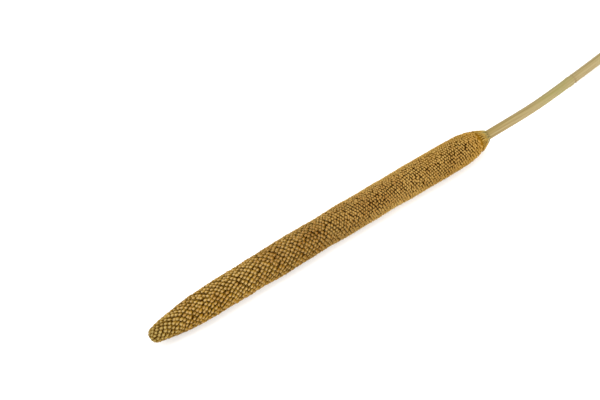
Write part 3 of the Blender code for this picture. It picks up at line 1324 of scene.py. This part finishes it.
@dataclass
class StemPiece:
    """The bare stalk: a fluted tube with one joint, cut off square at its far end.

    Attributes:
        form: the spike's outline.
        length: from the foot of the spike to the cut end.
        radius: of the plain stalk.
        inside: how far it runs on inside the spike.
        turn: slope to the side past the bend.
        bend_at: distance of the bend past the foot.
        bend_reach: how gradual the bend is.
        joint_at: distance of the joint past the foot.
        joint_swell: height of the swelling at the joint, as a share of the radius.
        joint_reach: half length of the swelling.
        joint_fine: where the closer rings begin and end, from the joint.
        joint_rings: how many closer rings there are.
        groove_at: place of the groove past the joint.
        groove_depth: its depth, as a share of the radius.
        rim_at: place of the rim past the joint.
        rim_height: its height, as a share of the radius.
        crease: half width of the groove and of the rim.
        stain_reach: half width of the brown ring in the groove.
        stain: strength of that ring all round, and its gain on one side.
        stain_side: angle of that side.
        green_least: greenness away from the joint.
        green_at: place of the greenest part, past the joint.
        green_reach: how far the green reaches either way.
        green_end: place past the joint where it stops.
        warm_reach: distance past the foot over which the warm stain fades.
        flutes: fine ridges round the stalk.
        flute_depth: half their depth, as a share of the radius.
        flute_sway: how far they wander to either side.
        sway_pace: how fast they wander.
        flatness: how flat the stalk is, as a share of the radius.
        flat_turn: how fast the flat sides turn round it.
        cut_rings: share of the radius and depth of each ring on the cut face.
        cut_depth: depth of the middle of the cut face.
        clearance: least height over the floor.
        sides: corners in each ring.
        stations: evenly spaced rings.
    """

    form: SpikeForm
    length: float = 0.160
    radius: float = 0.0035
    inside: float = 0.0057
    turn: float = 0.14
    bend_at: float = 0.045
    bend_reach: float = 0.020
    joint_at: float = 0.083
    joint_swell: float = 0.08
    joint_reach: float = 0.0022
    joint_fine: tuple[float, float] = (-0.006, 0.008)
    joint_rings: int = 60
    groove_at: float = 0.0036
    groove_depth: float = 0.08
    rim_at: float = 0.0049
    rim_height: float = 0.05
    crease: float = 0.0006
    stain_reach: float = 0.0008
    stain: tuple[float, float] = (0.22, 0.6)
    stain_side: float = 3.5
    green_least: float = 0.15
    green_at: float = -0.014
    green_reach: float = 0.020
    green_end: float = 0.003
    warm_reach: float = 0.035
    flutes: int = 26
    flute_depth: float = 0.009
    flute_sway: float = 0.8
    sway_pace: float = 90.0
    flatness: float = 0.02
    flat_turn: float = 9.0
    cut_rings: tuple[tuple[float, float], ...] = ((0.86, 0.0), (0.74, 0.00025), (0.40, 0.00040))
    cut_depth: float = 0.00042
    clearance: float = 0.00002
    sides: int = 104
    stations: int = 330

    def path(self, past: np.ndarray) -> np.ndarray:
        """Centre line at a distance past the foot of the spike.

        To the side it follows a hyperbola's arm, and in height a smooth step down to
        where the cut end lies on the floor.

        Args:
            past: distances past the foot.

        Returns:
            x, y, z of each place.
        """
        reach = past - self.bend_at
        side = self.turn * (np.hypot(reach, self.bend_reach) + reach) / 2
        side = side - self.turn * (math.hypot(self.bend_at, self.bend_reach) - self.bend_at) / 2
        side = np.where(past > 0, side, 0)
        step = np.clip(past / self.length, 0, 1)
        drop = self.form.axis_z - self.radius
        height = self.form.axis_z - drop * step**2 * (3 - 2 * step)
        x = self.form.tip_x + self.form.length + past
        return np.stack([x, self.form.axis_y + side, height], axis=-1)

    def girth(self, past: np.ndarray) -> np.ndarray:
        """Radius over the plain radius: a bell at the joint, a groove and a rim past it.

        Args:
            past: distances past the foot of the spike.

        Returns:
            The girth at each place.
        """
        off = past - self.joint_at
        swell = self.joint_swell * bell(off, 0.0, self.joint_reach)
        groove = self.groove_depth * bell(off, self.groove_at, self.crease)
        rim = self.rim_height * bell(off, self.rim_at, self.crease)
        return 1 + swell - groove + rim

    def tube(self, past: np.ndarray, angle: np.ndarray) -> tuple[np.ndarray, np.ndarray, np.ndarray]:
        """Rings square to the centre line, less sine flutes that wander and a flatness that turns.

        Args:
            past: distance of each ring past the foot of the spike.
            angle: angle of each corner round the centre line.

        Returns:
            The rings' corners, their centres, and the directions of the centre line.
        """
        centre = self.path(past)
        ahead = np.gradient(centre, past, axis=0)
        ahead = ahead / np.linalg.norm(ahead, axis=1, keepdims=True)
        aside = np.cross(np.array([0.0, 0.0, 1.0]), ahead)
        aside = aside / np.linalg.norm(aside, axis=1, keepdims=True)
        above = np.cross(ahead, aside)
        wave = np.sin(self.flutes * angle + self.flute_sway * np.sin(past[:, None] * self.sway_pace))
        flat = self.flatness * np.cos(2 * angle + self.flat_turn * past[:, None])
        shape = self.girth(past)[:, None] - self.flute_depth * (1 + wave) - np.abs(flat)
        reach = (self.radius * shape)[..., None]
        cosine = np.cos(angle)[None, :, None]
        sine = np.sin(angle)[None, :, None]
        return centre[:, None] + reach * (cosine * aside[:, None] + sine * above[:, None]), centre, ahead

    def values(self, past: np.ndarray, angle: np.ndarray, cut: np.ndarray) -> dict[str, np.ndarray]:
        """Values for the finish, which are bells along the stalk.

        Args:
            past: each point's distance past the foot of the spike.
            angle: its angle round the centre line.
            cut: 1 on the cut face and 0 elsewhere.

        Returns:
            The values by name, for each point.
        """
        off = past - self.joint_at
        side = np.clip(np.cos(angle - self.stain_side), 0, 1) ** 4
        green = bell(off, self.green_at, self.green_reach) * (off < self.green_end)
        return {
            "run": np.stack([np.cos(angle), np.sin(angle), past], axis=-1),
            "cut": cut,
            "joint": bell(off, self.groove_at, self.stain_reach) * (self.stain[0] + self.stain[1] * side),
            "warm": np.exp(-np.maximum(past, 0) / self.warm_reach),
            "green": self.green_least + (1 - self.green_least) * green,
        }

    def draft(self) -> MeshDraft:
        """The tube, its hidden top end and its cut face, with values for the finish.

        Returns:
            The stalk as one draft.
        """
        even = np.linspace(-self.inside, self.length, self.stations)
        fine = self.joint_at + np.linspace(*self.joint_fine, self.joint_rings)
        past = np.unique(np.concatenate([even, fine]))
        angle = TURN * np.arange(self.sides) / self.sides
        tube, centre, ahead = self.tube(past, angle)
        end = centre[-1]
        face = [end + share * (tube[-1] - end) - depth * ahead[-1] for share, depth in self.cut_rings]
        rings = np.concatenate([tube, face])
        ends = np.stack([centre[0], end - self.cut_depth * ahead[-1]])
        points = np.concatenate([rings.reshape(-1, 3), ends])
        points[:, 2] = np.maximum(points[:, 2], self.clearance)
        ring_past = np.concatenate([past, np.full(len(face), past[-1])])
        ring_cut = np.concatenate([np.zeros(len(past)), np.ones(len(face))])
        values = self.values(
            np.concatenate([np.repeat(ring_past, self.sides), past[[0, -1]]]),
            np.concatenate([np.tile(angle, len(rings)), np.zeros(2)]),
            np.concatenate([np.repeat(ring_cut, self.sides), [0.0, 1.0]]),
        )
        return MeshDraft(points, *ring_faces(len(rings), self.sides), values)

    def build(self) -> bpy.types.Object:
        """Makes the stem's one piece."""
        return self.draft().to_piece("stalk", StemFinish("dry_stalk").build(), Slot.STEM)


@dataclass
class Studio:
    """Floor, lights, world and the camera at the photograph's angle.

    Attributes:
        form: the spike, which the camera is set up on.
        azimuth: of the camera round the spike, in degrees.
        elevation: of the camera over the floor, in degrees.
        lens: focal length, in millimetres.
        sensor: width of the film, in millimetres.
        frame_size: width and height of the frame, in pixels.
        tip_pixel: where the blunt tip falls in the frame.
        foot_pixel: where the foot of the spike falls in the frame.
        first_distance: of the camera from the spike, before it is worked out.
        rounds: how often it is worked out again.
        floor_drop: how far below zero the floor is.
        floor_size: its side.
        room_light: strength of the even light from all round.
    """

    form: SpikeForm
    azimuth: float = -37.76
    elevation: float = 50.0
    lens: float = 180.0
    sensor: float = 36.0
    frame_size: tuple[int, int] = (600, 400)
    tip_pixel: tuple[float, float] = (148.5, 338.8)
    foot_pixel: tuple[float, float] = (484.6, 137.3)
    first_distance: float = 2.0
    rounds: int = 12
    floor_drop: float = 0.0003
    floor_size: float = 14.0
    room_light: float = 0.95

    def build(self) -> None:
        """Makes the stage, the lights and the camera."""
        self.floor()
        self.world()
        self.softbox("key_softbox", (-0.6, 0.5, 1.5), 1.3, 26.0)
        self.softbox("fill_softbox", (0.5, -1.5, 0.7), 1.2, 34.0)
        self.softbox("back_softbox", (-0.6, 1.2, 0.8), 1.0, 9.0)
        self.camera()

    def floor(self) -> None:
        """A wide plain floor just under the object."""
        half = self.floor_size / 2
        mesh = bpy.data.meshes.new("floor")
        corners = [(-half, -half), (half, -half), (half, half), (-half, half)]
        mesh.from_pydata([(x, y, -self.floor_drop) for x, y in corners], [], [(0, 1, 2, 3)])
        mesh.materials.append(FloorFinish("pale_floor").build())
        floor = bpy.data.objects.new("floor", mesh)
        bpy.context.scene.collection.objects.link(floor)

    def world(self) -> None:
        """Even white light from all round."""
        world = bpy.data.worlds.new("white_room")
        world.use_nodes = True
        background = world.node_tree.nodes["Background"]
        background.inputs["Color"].default_value = (1.0, 1.0, 1.0, 1.0)
        background.inputs["Strength"].default_value = self.room_light
        scene = bpy.context.scene
        scene.world = world
        scene.view_settings.view_transform = "Standard"

    def softbox(self, name: str, place: tuple[float, float, float], size: float, power: float) -> None:
        """A square area light that faces the middle of the spike.

        Args:
            name: the light's name.
            place: where it hangs.
            size: its side.
            power: in watts.
        """
        data = bpy.data.lights.new(name, "AREA")
        data.shape = "SQUARE"
        data.size = size
        data.energy = power
        light = bpy.data.objects.new(name, data)
        light.location = place
        light.rotation_euler = (-Vector(place)).to_track_quat("-Z", "Y").to_euler()
        light.visible_camera = False
        bpy.context.scene.collection.objects.link(light)

    def camera(self) -> None:
        """Puts the camera where the spike's two ends fall on their pixels.

        The camera's direction is given. It stands on the ray through the pixel halfway
        between the two ends, as far off as makes the ends the right distance apart.
        """
        turn = math.radians(self.azimuth)
        tilt = math.radians(self.elevation)
        back = np.array([math.sin(turn) * math.cos(tilt), -math.cos(turn) * math.cos(tilt), math.sin(tilt)])
        right = np.array([math.cos(turn), math.sin(turn), 0.0])
        up = np.cross(back, right)
        ends = self.form.place(np.array([0.0, self.form.length]), np.zeros(2), np.zeros(2))
        middle = ends.mean(axis=0)
        wide, high = self.frame_size
        scale = self.lens / self.sensor * wide
        tip, foot = np.array(self.tip_pixel), np.array(self.foot_pixel)
        wanted = np.hypot(*(foot - tip))
        across, down = (tip + foot) / 2 - np.array([wide, high]) / 2
        ray = back - across / scale * right + down / scale * up
        distance = self.first_distance
        for _ in range(self.rounds):
            eye = middle + distance * ray
            offset = ends - eye
            depth = -offset @ back
            seen = np.stack([offset @ right, -(offset @ up)], axis=-1) * scale / depth[:, None]
            distance *= np.hypot(*(seen[1] - seen[0])) / wanted
            miss = seen.mean(axis=0) - (across, down)
            ray = ray + miss[0] / scale * right - miss[1] / scale * up
        LOG.info("camera %.3f m off; ends at %s", distance, (seen + (wide / 2, high / 2)).round(1).tolist())
        data = bpy.data.cameras.new("camera")
        data.lens = self.lens
        data.sensor_width = self.sensor
        data.clip_start = 0.05
        data.clip_end = 60.0
        camera = bpy.data.objects.new("camera", data)
        camera.location = eye
        camera.rotation_euler = Vector(-back).to_track_quat("-Z", "Y").to_euler()
        bpy.context.scene.collection.objects.link(camera)
        bpy.context.scene.camera = camera


def main() -> None:
    """Builds the spike, the stem and the studio, in that order."""
    logging.basicConfig(level=logging.INFO, format="%(name)s: %(message)s")
    form = SpikeForm.on_node("seed_head")
    spiral = GrainSpiral(form)
    LOG.info("%d grains", len(spiral.along))
    for piece in SpikePieces(form, spiral).build():
        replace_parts(piece, "seed_head")
    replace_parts(StemPiece(form).build(), "stem")
    Studio(form).build()


if __name__ == "__main__":
    main()
